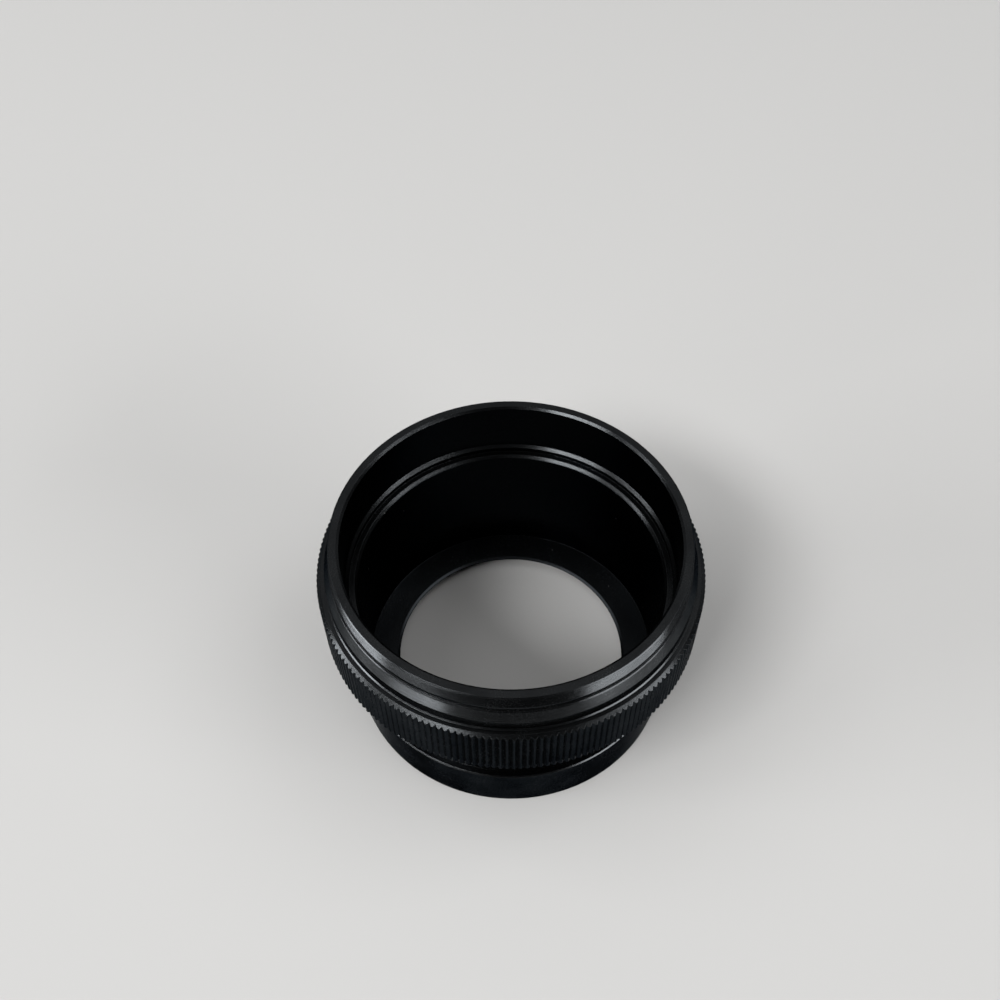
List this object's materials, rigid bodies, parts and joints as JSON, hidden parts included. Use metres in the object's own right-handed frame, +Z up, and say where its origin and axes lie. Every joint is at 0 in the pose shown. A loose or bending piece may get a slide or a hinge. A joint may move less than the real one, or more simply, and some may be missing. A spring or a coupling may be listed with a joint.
{
  "type": "camera adapter ring",
  "caption": "Black anodised aluminium ring that joins a camera's filter thread to the eyepiece of a spotting scope, with a straight knurled grip round it.",
  "frame": {"origin": "centre of the lower ring's bottom face", "axes": "+Z up along the optical axis towards the eyepiece socket; +X and +Y are free, because the ring is round"},
  "size_m": [0.0606, 0.0606, 0.0366],
  "materials": {
    "black_anodised": "fine bead-blasted and black anodised, satin, with slightly brighter turned edges"
  },
  "bodies": {
    "root": {"adapter_body": "black_anodised"}
  },
  "joints": []
}
